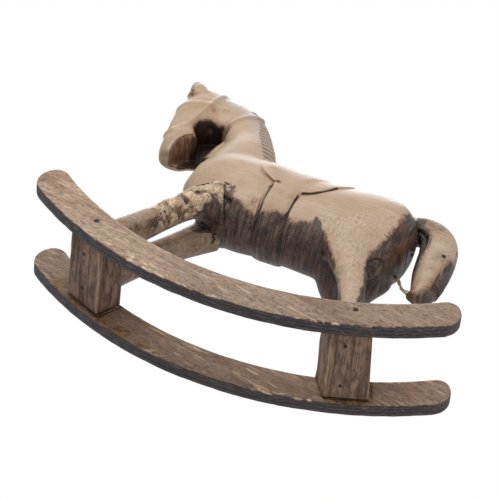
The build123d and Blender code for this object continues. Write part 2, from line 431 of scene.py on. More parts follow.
    def swell(self, soft, points):
        """How far the surface stands proud of its blurred self, negative where it is sunk."""
        return self.sample(soft, points) - self.sample(self.d, points)

    def mesh(self, name, block=None):
        """Polygons of the zero surface, as a mesh in metres."""
        grid = vdb.FloatGrid(background=float(BAND * self.cell))
        block = self.d if block is None else block
        grid.copyFromArray(np.ascontiguousarray(block, np.float32), tolerance=0.0)
        points, tris, quads = grid.convertToPolygons(isovalue=0.0, adaptivity=0.0)
        points = (points + self.low.astype(np.float32)) * self.cell
        mesh = bpy.data.meshes.new(name)
        mesh.from_pydata((points * MM).tolist(), [], tris.tolist() + quads.tolist())
        mesh.update()
        return mesh

    def skin(self, name, passes=1, factor=0.5, block=None):
        """A mesh without the grid's small steps, thinned if very dense; its points in mm and its normals."""
        obj = put_in_scene(bpy.data.objects.new("settling", self.mesh("rough", block)))
        relax = obj.modifiers.new("relax", "SMOOTH")
        relax.factor = factor
        relax.iterations = passes
        triangles = 2 * len(obj.data.polygons)
        if triangles > MOST_TRIANGLES:
            obj.modifiers.new("thin", "DECIMATE").ratio = MOST_TRIANGLES / triangles
        mesh = bpy.data.meshes.new_from_object(obj.evaluated_get(bpy.context.evaluated_depsgraph_get()))
        bpy.data.objects.remove(obj)
        mesh.name = name
        mesh.polygons.foreach_set("use_smooth", np.ones(len(mesh.polygons), bool))
        mesh.update()
        found = [np.empty(len(mesh.vertices) * 3, np.float32) for _ in range(2)]
        mesh.vertices.foreach_get("co", found[0])
        mesh.vertices.foreach_get("normal", found[1])
        return mesh, found[0].reshape(-1, 3) / MM, found[1].reshape(-1, 3)


def node_field(node, cell, margin=3):
    """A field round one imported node, which holds its shape."""
    low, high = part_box(node)
    field = Field([v / MM - margin for v in low], [v / MM + margin for v in high], cell)
    field.d = field.node(node)
    return field


def paint(mesh, **masks):
    for name, values in masks.items():
        layer = mesh.attributes.new(name, "FLOAT", "POINT")
        layer.data.foreach_set("value", np.clip(values, 0, 1).astype(np.float32))


def add_piece(node, mesh, material):
    """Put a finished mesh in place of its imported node."""
    mesh.materials.clear()
    mesh.materials.append(material)
    obj = put_in_scene(bpy.data.objects.new(mesh.name, mesh))
    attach(obj, "root")
    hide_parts(node)


# ---- the carved horse

# Side outline of the saddle's seat and of the girth flap below it.
SEAT = [(19, 215), (20, 190), (23, 174), (28, 165), (32, 158), (28.5, 151), (22, 147), (15, 144), (6, 142.5),
        (-3, 143), (-10, 147), (-16, 155), (-21, 163), (-27, 178), (-29, 215)]
FLAP = [(16, 148), (17.5, 135), (18, 127), (16.5, 118), (15, 104), (-5, 104), (-3, 116), (-2, 126),
        (-2, 134), (-3, 148)]
# Rooms of the leg tops and the tail, as side outlines, and the half width of the keel between the legs.
FORE_ROOM = [(38.5, 113.5), (45.6, 128.5), (54, 124), (61, 118), (68, 111.5), (76, 108), (140, 80),
             (140, -20), (-20, -20), (-20, 15)]
HIND_ROOM = [(-22, 131), (-50, 133), (-78, 131), (-90, 135), (-120, 0), (-20, 0), (-21, 118)]
TAIL_ROOM = [(-79.2, 150), (-77.4, 172), (-70, 192), (-80, 200), (-140, 200), (-140, 90), (-88, 90),
             (-88, 120)]
LEG_GAP = 5.0
# The notch between chin and throat, the uncut wood behind it, and the front line of the neck.
NOTCH = [(101.5, 158), (102.4, 166), (102.6, 174), (101.6, 181), (98.6, 186.6), (94.0, 189.4), (96.6, 193.4),
         (100.0, 198), (99.8, 205), (94.5, 211.4), (87, 213.8), (80.5, 212.6), (76, 206), (72, 194),
         (74, 176), (78, 158)]
WEB = [(88, 224), (77, 205), (76, 196), (82, 188), (88, 180.5), (92.3, 175.4), (95.5, 171.3), (98.6, 167.3),
       (104, 165), (108, 190), (106, 222)]
NECK_FRONT_Z = (150, 178, 190, 200, 209, 216)
NECK_FRONT_X = (91, 89.4, 88, 86.5, 84.5, 81)
# The mane's band, and the line of its crest.
MANE = [(76, 239), (67.5, 229), (62, 220.5), (57, 208), (49.5, 194.5), (43, 184), (34, 170), (20, 176),
        (20, 200), (50, 246), (68, 254)]
CREST = [(29, 181), (36, 195), (43.5, 209.5), (51, 222), (59.5, 234), (69, 243)]
# The knot under the rump: its middle, two directions across it, and the radius of its ring.
KNOT = [np.array(v) for v in ((-72.9, 12.5, 110.5), (-0.905, 0.085, 0.417), (0.31, 0.80, 0.51))]
KNOT_RING = 6.8
# The middle line of the chips and filler on the left foreleg's top.
DAMAGE = [(46, 122), (54, 110), (61, 99), (68, 83)]


def carve_horse():
    field = Field((-122, -36, 30), (134, 36, 264), HORSE_CELL)
    for name in ("horse_body", "left_foreleg", "right_foreleg", "left_hind_leg", "right_hind_leg", "tail",
                 "leg_dowels", "tail_dowel"):
        part = field.node(name)
        field.d = part if field.d is None else smooth_union(field.d, part, 2.0)
    # The field is measured afresh from its outer surface, so the joints inside leave no trace.
    shell = field.mesh("shell")
    field.d = field.measure(shell)
    bpy.data.meshes.remove(shell)
    # Blend the lofted masses into each other.
    keep = fade(field.z, 84, 104) * fade(field.x, 106, 96) * fade(field.x, -82, -74)
    field.d += (field.blurred(2.0) - field.d) * keep
    for carve in (carve_head, carve_saddle, carve_mane, carve_quarters, carve_shoulder, carve_tail):
        carve(field)
    # Knife facets and the unevenness of hand work.
    field.d += field.noise(11, 5) * 0.22
    field.d += field.noise(4.2, 6, (1.6, 1, 1)) * 0.09
    return field


def emboss(field, line, width, height, side_from=None):
    """Raise, or with a negative height sink, the surface along a line of the side view."""
    pts = smooth_line(line, 5)
    (low_x, low_z), (high_x, high_z) = np.min(pts, axis=0), np.max(pts, axis=0)
    pad = 4 * width
    cut, x, y, z = field.window((low_x - pad, -36, low_z - pad), (high_x + pad, 36, high_z + pad))
    profile = height * bell(line_distance(x, z, pts), width)
    if side_from is not None:
        profile = profile * fade(np.abs(y), side_from, side_from + 2.5)
    field.d[cut] -= profile


def pocket_floor(z):
    """How far across, toward the right, the pocket under the jaw is cut at each height."""
    return np.clip(-0.45 * (z - 167) - 1.5, -9.5, -1.5)


def carve_pocket(field):
    # Uncut wood joins the chin to the throat. It is open deep on the left, shallow on the right.
    cut, x, y, z = field.window((70, -16, 156), (112, 16, 226))
    right_face = np.clip(-8 - 0.45 * (z - 172), -13.5, -7)
    field.merge(cut, most(polygon_distance(x, z, WEB), y + 1.0, right_face - y), 2.5, add=True)
    # The notch never cuts into the neck.
    beyond_neck = np.interp(z, NECK_FRONT_Z, NECK_FRONT_X).astype(np.float32) - 0.5 - x
    notch = polygon_distance(x, z, smooth_line(NOTCH, 3))
    field.merge(cut, most(notch, pocket_floor(z) - y, beyond_neck), 3.2)
    # Gouge marks left in the pocket.
    for spot, size in (((93, 2, 210), 3.0), ((86, 4, 210), 2.6), ((98, 0, 203), 2.6), ((90, -4, 207), 3.2)):
        field.pit(spot, (size, size * 1.4, size), k=1.0)


def carve_head(field):
    carve_pocket(field)
    # The flat end of the muzzle, and its pared right edge.
    cut, x, y, z = field.window((84, -16, 150), (126, 16, 180))
    field.merge(cut, (z - 165.4) * 0.985 - (x - 104) * 0.12, 1.6)
    field.merge(cut, (z - 166.5 + 1.33 * (y + 7)) / 1.66, 4.5)
    # Straps of the bridle: low ridges, some with a cut line under them.
    emboss(field, [(60, 243), (66, 235), (70, 230), (75, 224), (80, 219), (85, 213)], 1.8, 1.25)
    emboss(field, [(57.5, 240.5), (63.6, 232.6), (67.8, 227.8), (72.8, 221.8), (77.8, 216.8), (82, 212)],
           0.9, -0.65)
    emboss(field, [(98.5, 250), (100, 238), (102, 224), (103, 212), (105, 201), (108, 194.5), (114, 190.5),
                   (124, 188)], 2.2, 1.25, side_from=0)
    emboss(field, [(101, 225.5), (107, 224.6), (113, 223.6), (128, 222)], 2.1, 1.2)
    emboss(field, [(103, 222.4), (110, 221.4), (117, 220.4), (128, 219)], 0.8, -0.4)
    for side in (1, -1):
        # Nostril, and a shallow socket for the eye.
        field.pit((112.8, side * 10.2, 173.5), (1.5, 1.3, 1.0), k=0.8)
        field.pit((108, side * 15.3, 214), (3.0, 2.2, 2.2), k=1.5)
        # Ears, pointed, with a hollow at the front.
        field.tube([(113, side * 7.0, 243), (118.5, side * 7.6, 248.5), (123.0, side * 7.4, 254)],
                   [4.6, 3.6, 1.3], k=3, add=True)
        field.tube([(124.0, side * 8.6, 240), (126.0, side * 8.2, 245), (126.4, side * 7.8, 249)],
                   [1.3, 1.9, 0.8], k=0.7)


def carve_saddle(field):
    cut, x, y, z = field.window((-34, -36, 96), (50, 36, 205))
    seat = polygon_distance(x, z, smooth_line(SEAT, 4))
    flap = polygon_distance(x, z, FLAP)
    on_flap = fade(flap, 0.4, -0.5)
    # The seat is a plate with a thick front corner; the flap below it is only lined in.
    corner = bell(x - 25, 8) * bell(z - 154, 12)
    lift = most((1.2 + 1.5 * corner) * fade(seat, 0.4, -0.5), 0.55 * on_flap,
                1.2 * bell(np.maximum(seat, 0), 5.0) * on_flap)
    # Fine V lines round the plate, deepest where seat and flap meet.
    meet = (bell(x - 16, 4) + bell(x + 3, 4)) * bell(z - 141, 7)
    rim = 0.55 * bell(np.minimum(seat, flap) - 0.7, 0.7) * (0.75 + 1.2 * meet) * fade(z, 100, 120)
    field.d[cut] -= lift - rim * (0.55 + 0.45 * fade(x, 20, -10))


def carve_mane(field):
    # A raised band along the crest of the neck, cut across by slanted grooves.
    crest = np.array(smooth_line(CREST, 8))
    cut, x, y, z = field.window((26, -22, 174), (84, 22, 256))
    edge = polygon_distance(x, z, MANE)
    band = fade(edge, 0.4, -0.8)
    steps = np.linalg.norm(np.diff(crest, axis=0), axis=1)
    length = np.concatenate([[0], np.cumsum(steps)])
    best, along = 1e9, 0
    for i, (a, e) in enumerate(zip(crest, np.diff(crest, axis=0))):
        t = ((x - a[0]) * e[0] + (z - a[1]) * e[1]) / (e @ e)
        t = np.clip(t, 0 if i > 0 else None, 1 if i < len(steps) - 1 else np.inf)
        gap = (x - a[0] - t * e[0]) ** 2 + (z - a[1] - t * e[1]) ** 2
        along = np.where(gap < best, length[i] + t * steps[i], along)
        best = np.minimum(gap, best)
    pitch = length[-1] / 17.5
    phase = (along + np.abs(y) * 0.42) / pitch
    groove = bell((phase - np.round(phase)) * pitch, 1.0)
    field.d[cut] -= 0.8 * band - 2.1 * groove * band * fade(edge, 0.4, -2.6)


def knot_ring(p):
    """1 along the dark line round most of the knot."""
    boss, right, up = KNOT
    q = p - boss
    u, v = q @ right, q @ up
    away = np.abs(np.linalg.norm(q, axis=1) ** 2 - u ** 2 - v ** 2) ** 0.5
    turn = np.degrees(np.arctan2(v, u)) % 360
    return bell(np.hypot(u, v) - KNOT_RING, 0.9) * (away < 18) * inside(np.abs(turn - 150) - 115, 12)


def carve_knot(field):
    # A knot under the rump, behind the left thigh: a rough boss in a sunk ring.
    field.blob((-67.5, 12.5, 111.5), (7.0, 8.5, 9.0), k=3.0, turn=(0, -20, 0))
    cut, x, y, z = field.window((-86, -4, 96), (-58, 26, 128))
    rough = field.noise(1.9, 17) + field.noise(3.4, 18)
    near = np.sqrt((x + 72) ** 2 + (y - 11) ** 2 + (z - 112) ** 2)
    field.d[cut] += rough[cut] * 0.6 * fade(near, 12, 8.5)
    boss, right, up = KNOT
    inward = np.cross(up, right)
    depths = np.arange(-14, 14, 0.25)
    arc = []
    for t in np.radians(np.linspace(60, 215, 12)):
        spots = boss + KNOT_RING * (math.cos(t) * right + math.sin(t) * up) + depths[:, None] * inward
        values = field.sample(field.d, spots)
        if values.min() < 0:
            arc.append(spots[np.argmax(values < 0)])
    if len(arc) > 2:
        field.tube(arc, 0.8, k=0.6)


def carve_quarters(field):
    for side in (1, -1):
        # Hollow in front of the stifle and behind the elbow.
        field.pit((-20, side * 30, 122), (9, 5, 10), k=6)
        field.pit((33, side * 31, 126), (7, 5, 10), k=6)
    # Dark cavity where the belly meets the left thigh.
    field.pit((-34, 11, 107), (6, 3.2, 5), k=1.5, turn=(0, 30, 0))
    carve_knot(field)
    # Seam groove round the top of each foreleg.
    cut, x, y, z = field.window((-100, -36, 60), (100, 36, 150))
    groove = np.maximum(polygon_distance(x, z, FORE_ROOM), LEG_GAP - np.abs(y))
    rough = field.noise(3.0, 12)[cut]
    field.d[cut] += fade(x, 47, 43) * (0.75 + 0.5 * rough) * bell(groove, 0.55 + 0.2 * rough)


def damage_zone(x, y, z):
    """1 on the outer face of the left foreleg's top, where it is chipped and filled."""
    return fade(line_distance(x, z, DAMAGE), 12.5, 6.5) * fade(y, 13, 18)


def chip_noise(field):
    return field.noise(5.4, 31, (1.0, 1, 0.7)), field.noise(2.2, 32)


def carve_shoulder(field):
    # Chips and proud lumps of filler.
    cut, x, y, z = field.window((34, 10, 66), (84, 34, 134))
    large, small = (block[cut] for block in chip_noise(field))
    change = 1.5 * fade(large, 0.12, 0.26) + 0.6 * fade(small, 0.25, 0.6) * fade(large, -0.2, 0.2)
    field.d[cut] += damage_zone(x, y, z) * (change - 0.9 * fade(large, -0.3, -0.55))
    # Pits: a star-shaped one, a slot, a round one, and a ring.
    star = np.array((58.4, 23.4, 98.1))
    for tip in ((2.6, 0.3, 1.0), (-2.2, 0.2, 1.5), (0.3, 0.2, -2.8), (1.7, 0, -1.6), (-1.8, 0.3, -1.0)):
        field.tube([star + (0, 0.2, 0), star + tip], [1.3, 0.3], k=0.5)
    field.pit((56.5, 26.2, 110.5), (1.9, 1.4, 0.9), k=0.4, turn=(0, 20, 0))
    field.pit((63, 18.9, 83), (1.1, 1.5, 1.7), k=0.4, turn=(0, -30, 0))
    field.tube([(67.2 + 2 * math.cos(t), 22.6, 80.6 + 2 * math.sin(t)) for t in np.linspace(0.4, 5.6, 9)],
               0.6, k=0.5)
    # The sharp lower edge left by the saw.
    field.tube([(68, 14.2, 74), (64.1, 14.6, 79.1), (58.6, 15.0, 91.3), (52.9, 15.5, 100.9),
                (47, 16.9, 109.6)], [0.2, 0.7, 0.9, 0.8, 0.2], k=2.0, add=True)
    # The right foreleg's rounded top stands proud of the keel, with a groove round it.
    field.blob((53.5, -9.5, 113.5), (9, 6.2, 6.6), k=2.5, turn=(0, 35, 0))
    field.tube([(60, -4.6, 118.5), (54, -3.2, 115.5), (48.5, -2.4, 112.6), (44.6, -4.0, 111.4),
                (42.6, -9.2, 112.6), (44.5, -13.8, 112.6)], [0.7, 1.0, 1.1, 1.0, 0.9, 0.6], k=0.8)
    # A split along the left leg's rear seam.
    field.tube([(43.7, 26.0, 124.6), (41.4, 22, 120), (39.6, 16.5, 116.2), (37.2, 9, 112.6)],
               [0.5, 0.9, 1.0, 0.6], k=0.6)


def carve_tail(field):
    # The root is squared and set on the rump with a cut line all round.
    field.tube([(-77.6, -11, 171), (-78.4, -4, 167), (-78.6, 4, 167), (-77.6, 11, 171)], 0.8, k=0.8)
    # Long grooves down the outer rear side.
    for y, lift in ((7.5, 0), (3.5, 0.5), (-0.5, 0.6), (-5, 0.4)):
        field.tube([(-103, y, 176 + lift), (-110.5 - lift, y, 160), (-113.5 - lift, y * 0.9, 143),
                    (-113.5, y * 0.7, 126), (-112.5, y * 0.5, 112)], [0.3, 0.7, 0.8, 0.7, 0.5], k=0.9)
    # A recess under the root, with a thin raised arris along its edge.
    arris = np.array([(-80.5, 8.4, 174.0), (-84.5, 9.2, 172.2), (-88.6, 10.0, 167.0), (-90.6, 10.2, 160.0),
                      (-91.8, 9.8, 151.0), (-91.6, 8.2, 143.0), (-92.5, 7.0, 134), (-94, 5, 124)])
    field.tube(arris + (2.6, -2.4, -1.2), [1.2, 1.8, 2.2, 2.2, 2.0, 1.6, 1.2, 0.8], k=1.2)
    field.tube(arris, [0.5, 0.6, 0.7, 0.7, 0.7, 0.6, 0.5, 0.3], k=0.8, add=True)
    # A split along the rear edge, and a splinter above it.
    field.tube([(-108.3, 9.6, 143), (-109.2, 9.2, 134), (-109.6, 8.6, 126), (-109.8, 7.6, 118)],
               [0.4, 1.0, 1.1, 0.5], k=0.6)
    field.blob((-106.3, 10.2, 152.5), (1.8, 0.9, 0.9), k=0.4, turn=(0, 20, 0))
    field.pit((-105.2, 10.4, 149.5), (2.0, 0.8, 1.6), k=0.5, turn=(0, 20, 0))
    # The tip is worn round.
    cut, x, y, z = field.window((-122, -20, 98), (-84, 20, 128))
    wear_and_shade = (np.sqrt(((x + 102.5) / 10.5) ** 2 + (y / 9.6) ** 2 + ((z - 122) / 14.5) ** 2) - 1) * 9.5
    field.merge(cut, -np.where(z < 122, wear_and_shade, -5), 1.5)
    # A lump of glue and splinters at the tip, and beads of glue under the root.
    for centre, radii, k, turn in (((-98.0, -1.5, 113.0), (3.6, 3.4, 3.0), 1.5, (0, 30, 0)),
                                   ((-103.5, 1, 110.0), (3.6, 3.4, 1.6), 1.5, (0, 0, 0)),
                                   ((-80.5, 5.5, 161.5), (1.6, 1.8, 1.5), 0.6, (0, 0, 0)),
                                   ((-80.8, 1.0, 158.5), (1.5, 1.9, 1.3), 0.6, (0, 0, 0)),
                                   ((-80.4, -4.0, 158.8), (1.4, 1.5, 1.2), 0.6, (0, 0, 0))):
        field.blob(centre, radii, k, turn=turn)


def split_horse(field):
    """One distance block for each of the six carved pieces."""
    rooms = {"foreleg": polygon_distance(field.x, field.z, FORE_ROOM),
             "hind_leg": polygon_distance(field.x, field.z, HIND_ROOM)}
    tail_room = polygon_distance(field.x, field.z, TAIL_ROOM)
    blocks = {}
    for kind, room in rooms.items():
        for side, sign in (("left", 1), ("right", -1)):
            blocks[f"{side}_{kind}"] = most(field.d, most(room, LEG_GAP - sign * field.y))
    blocks["tail"] = most(field.d, tail_room)
    # Under the legs the body runs on a little, just below the surface, so that no gap shows.
    under = most(np.minimum(*rooms.values()), LEG_GAP - np.abs(field.y))
    body = most(field.d + 0.22 * fade(under, 0.0, -0.6), -under - 1.8)
    blocks["horse_body"] = most(body, -tail_room)
    return blocks


# ---- painted masks of the horse

# Side outlines of the pale wedge down the outer face of each hind leg, and of the tail's pale side.
PALE_HIND = [(10, 190), (10, 140), (-14, 130), (-23, 128.5), (-26, 126), (-33, 116), (-43, 102), (-49, 93),
             (-57, 81), (-68, 60), (-76, 40), (-86, 40), (-79, 60), (-76, 77), (-72, 88), (-69, 98),
             (-67, 112), (-70, 127), (-73, 141), (-74, 153), (-74, 190)]
TAIL_LIGHT = [(-79, 188), (-81, 176.5), (-86.5, 172), (-89.6, 167), (-91.2, 160), (-92.4, 151), (-92.4, 142),
              (-94, 130), (-95.5, 118), (-97, 111), (-102, 109), (-106, 111), (-108.6, 118), (-109.6, 128),
              (-109.6, 140), (-109.6, 149), (-113, 155), (-116, 170), (-102, 190)]
# Upper edge of the dark belly, along the length of the horse.
BELLY_X = (-23, -13, -3, 6, 12, 17, 25, 30, 35, 40, 44)
BELLY_Z = (126, 122, 120.5, 121.8, 119, 117.5, 119, 120.5, 122.5, 125, 127)
# The line above which the crest and forehead are painted greyer, as a cool reflection.
SHEEN_X = (40, 52, 66, 84, 104, 116)
SHEEN_Z = (176, 196, 216, 228, 236, 244)
# Painted shadow in the cut lines round the saddle: side-view points, half width, and strength.
SADDLE_LINES = (([(16.4, 141), (16.4, 137), (16.6, 130), (16.2, 122), (15.4, 112)], 0.75, 1.1),
                ([(-2.4, 140), (-2.5, 133), (-2.4, 127), (-1.8, 120)], 0.65, 1.0),
                ([(-21, 163.5), (-18.5, 158), (-14.5, 152), (-9.5, 146.6), (-4, 143.6)], 0.7, 1.0),
                ([(30, 154), (27, 150.5), (22, 147), (17, 144.5)], 0.45, 0.62),
                ([(17, 144.3), (14, 144.3)], 0.7, 0.75))
# Soft spots on the body, tail and forelegs: middle, radius and strength. Most are brown; the ears' spots are
# painted shade and the leg's spots painted highlights.
BODY_SPOTS = (((98, 12, 223), 3.2, 0.42), ((89, 12, 226), 3.4, 0.40), ((104, 10, 209), 4, 0.4),
              ((84, 12, 214), 4, 0.36), ((24, 22, 123), 6, 0.36), ((40, 24, 128), 4, 0.42),
              ((13.6, 29, 144), 2.6, 0.5), ((20, 28, 140), 4, 0.34), ((1, 27, 134), 4, 0.34),
              # The last two: painted shade in the ears' hollows.
              ((108, 8, 167), 4, 0.34), ((122, 9, 240), 3.0, 0.95), ((124.5, 9, 245), 2.4, 0.95))
TAIL_SPOTS = (((-100, 9, 130), 5, 0.32), ((-98, 6, 112), 3.5, 0.5), ((-104.5, 10, 149), 3, 0.5),
              ((-103, 4, 107.5), 3.5, 0.7), ((-98, 9, 165), 6, 0.34), ((-100, 9, 142), 5, 0.3))
TAIL_WEAR = (((-105, 10, 146), 6, 1), ((-103, 10, 134), 4, 0.7), ((-98, 9, 118), 5, 0.6))
SHOULDER_SMEARS = (((49, 26, 117), 5.5, 0.62), ((45, 26, 122), 4, 0.66), ((54.8, 23.2, 103.5), 4.5, 0.6),
                   ((51, 23.5, 109), 4.5, 0.62), ((66, 20, 84), 4, 0.5), ((70, 23, 78), 5, 0.48),
                   ((60, 17, 92), 4, 0.45))
# Painted highlights, where the right foreleg is less brown.
LEG_HIGHLIGHTS = (((49, -8, 111), 9, 0.6), ((60, -9, 96), 12, 0.5), ((72, -9, 78), 9, 0.3))


def smudge(p, places):
    """Soft round spots, each given by its middle, radius and strength."""
    return most(*(strength * bell(np.linalg.norm(p - np.array(middle), axis=1), radius)
                  for middle, radius, strength in places))


def body_stain(p, n):
    x, y, z = p.T
    nx, nz = n[:, 0], n[:, 2]
    belly = fade(z - np.interp(x, BELLY_X, BELLY_Z), 5.5, -4.5) * (fade(x, 44.5, 42) + (z < 112))
    rump = fade(nx, -0.25, -0.75) * fade(z, 178, 160) * (x < -60)
    rump_edge = fade(x, -72.5, -76) * fade(z, 184, 178)
    hind = fade(polygon_distance(x, z, PALE_HIND), -2.5, 2.5) * (x < -20) * fade(z, 150, 130)
    chin = fade(nx, -0.1, -0.5) * inside(np.abs(z - 178) - 15, 3) * (x > 88)
    chin = chin * fade(y + 0.45 * (z - 167), -1.5, 0.5)
    keel = inside(np.abs(y) - 6, 1.5) * fade(z, 130, 120)
    elbow = fade(x, 34, 40) * fade(z, 134, 128) * fade(nz, 0.1, -0.4) * (x < 78)
    return most(belly, rump, rump_edge, hind, head_pocket(p), chin, keel, fore_seam(p), elbow,
                smudge(p, BODY_SPOTS))


def tail_stain(p, n):
    x, y, z = p.T
    light = inside(polygon_distance(x, z, TAIL_LIGHT), 2.2)
    facing = most(fade(np.abs(n[:, 1]), 0.15, 0.45), fade(n[:, 2], -0.2, -0.6) * (z < 114))
    dark = 1 - light * facing - 0.6 * (1 - facing) * (z > 168)
    return most(dark, 0.2 * fade(x, -92, -84) * (z > 168), smudge(p, TAIL_SPOTS))


def fore_seam(p):
    """1 along the glue line round the forelegs' tops."""
    x, y, z = p.T
    return inside(np.abs(polygon_distance(x, z, FORE_ROOM)) - 0.9, 0.6) * (np.abs(y) > 4) * (x < 46)


def foreleg_stain(name, p, n):
    x, y, z = p.T
    rear = fade(n[:, 0] * 0.93 + n[:, 2] * 0.40, -0.2, -0.75)
    inner = fade(n[:, 1] * np.sign(y), -0.1, -0.7)
    if name == "right_foreleg":
        return most(0.24 * rear, inner * 0.26, fore_seam(p))
    rear = rear * (0.52 + 0.45 * fade(z, 100, 114))
    under = fade(n[:, 2], -0.25, -0.7) * fade(z, 96, 106) * fade(y, 16, 13)
    return most(rear, under, inner * 0.85, 0.3 * fade(z, 100, 40), fore_seam(p), smudge(p, SHOULDER_SMEARS))


def horse_stain(name, p, n):
    """How dark each point of a carved piece is, 0 to 1."""
    if name == "horse_body":
        return body_stain(p, n)
    if name == "tail":
        return tail_stain(p, n)
    if "foreleg" in name:
        return foreleg_stain(name, p, n)
    outer = fade(n[:, 1] * np.sign(p[:, 1]), -0.35, 0.1)
    return 1 - inside(polygon_distance(p[:, 0], p[:, 2], PALE_HIND), 2.5) * outer


def warm_zone(p):
    """Where the colour is warmer and browner: the jaw and cheeks, the flaps' edges and low on the chest."""
    x, y, z = p.T
    face = fade(x, 84, 96) * fade(z, 236, 218)
    chest = fade(x, 34, 50) * fade(z, 150, 128) * (x < 84)
    muzzle = fade(x, 96, 104) * fade(z, 192, 178)
    flap = inside(polygon_distance(x, z, FLAP), 1.5) * fade(z, 142, 138)
    low = fade(z, 158, 136) * (x < 40)
    return most(0.8 * flap, 0.3 * (x < -92), 0.8 * face, muzzle, 0.15 * chest, 0.35 * low)


def crest_sheen_zone(p):
    """The crest of the neck and the forehead's top, painted greyer as a cool reflection."""
    x, y, z = p.T
    return fade(z - np.interp(x, SHEEN_X, SHEEN_Z), -3, 8) * (x > 34) * fade(z, 172, 186)


def rust_zone(p):
    """Where the dark finish on the rump has gone reddish."""
    x, y, z = p.T
    return fade(x, -56, -66) * fade(z, 122, 134) * fade(z, 166, 152) * (x > -84)


def brown_zone(name, p, n):
    """Where the wood is evenly brown: the right foreleg, the tail's root and rims, the knees and the jaw."""
    x, y, z = p.T
    if name == "right_foreleg":
        # The right foreleg is brown, less so at painted highlights.
        return 0.9 - smudge(p, LEG_HIGHLIGHTS)
    if name == "left_foreleg":
        return 0.7 * fade(z, 96, 55) * fade(n[:, 0] * 0.93 + n[:, 2] * 0.4, 0.9, -0.3)
    if name == "tail":
        rim = bell(polygon_distance(x, z, TAIL_LIGHT), 2.8) * (z < 176)
        root = fade(z, 163, 176) * fade(x, -104, -90)
        tip = fade(z, 116, 106)
        return most((0.32 + 0.43 * (x < -103)) * rim, 0.6 * smudge(p, TAIL_WEAR), 0.7 * root, 0.5 * tip)
    if name == "horse_body":
        rim = bell(polygon_distance(x, z, NOTCH), 3.0) * (y > 0)
        muzzle = fade(x, 97, 104) * fade(z, 190, 176) * (y > -8)
        return most(0.55 * rim, 0.28 * muzzle) * (x > 80)
    return 0 * x


def head_pocket(p):
    """1 on the walls of the pocket between chin and throat."""
    x, y, z = p.T
    edge = inside(polygon_distance(x, z, NOTCH) - 1.2, 1.3) * fade(x, 83, 86) * (np.abs(y) < 12)
    return edge * fade(y - pocket_floor(z), -3.0, -1.2)


def haunch_zone(p):
    """1 on the brushed outer face of the thighs."""
    x, y, z = p.T
    return fade(z - 129 + 0.58 * (x + 23), 2, -3) * fade(x, -19, -23) * (x > -76)


def dark_lines(p, swell):
    """1 where shade is painted: in hollows of the surface, in the lines round the saddle, and in the knot's
    ring.
    """
    x, y, z = p.T
    low = most(fade(z, 140, 128), (x < -74) * 1.0)
    hollow = fade(swell, -0.10, -0.55) * (0.35 + 0.65 * low)
    for line, width, strength in SADDLE_LINES:
        gap = line_distance(x, z, smooth_line(line, 4))
        hollow = most(hollow, strength * bell(gap, width) * (np.abs(y) > 6))
    return most(hollow * (1 - 0.75 * (x > 86) * (z < 200)), knot_ring(p))


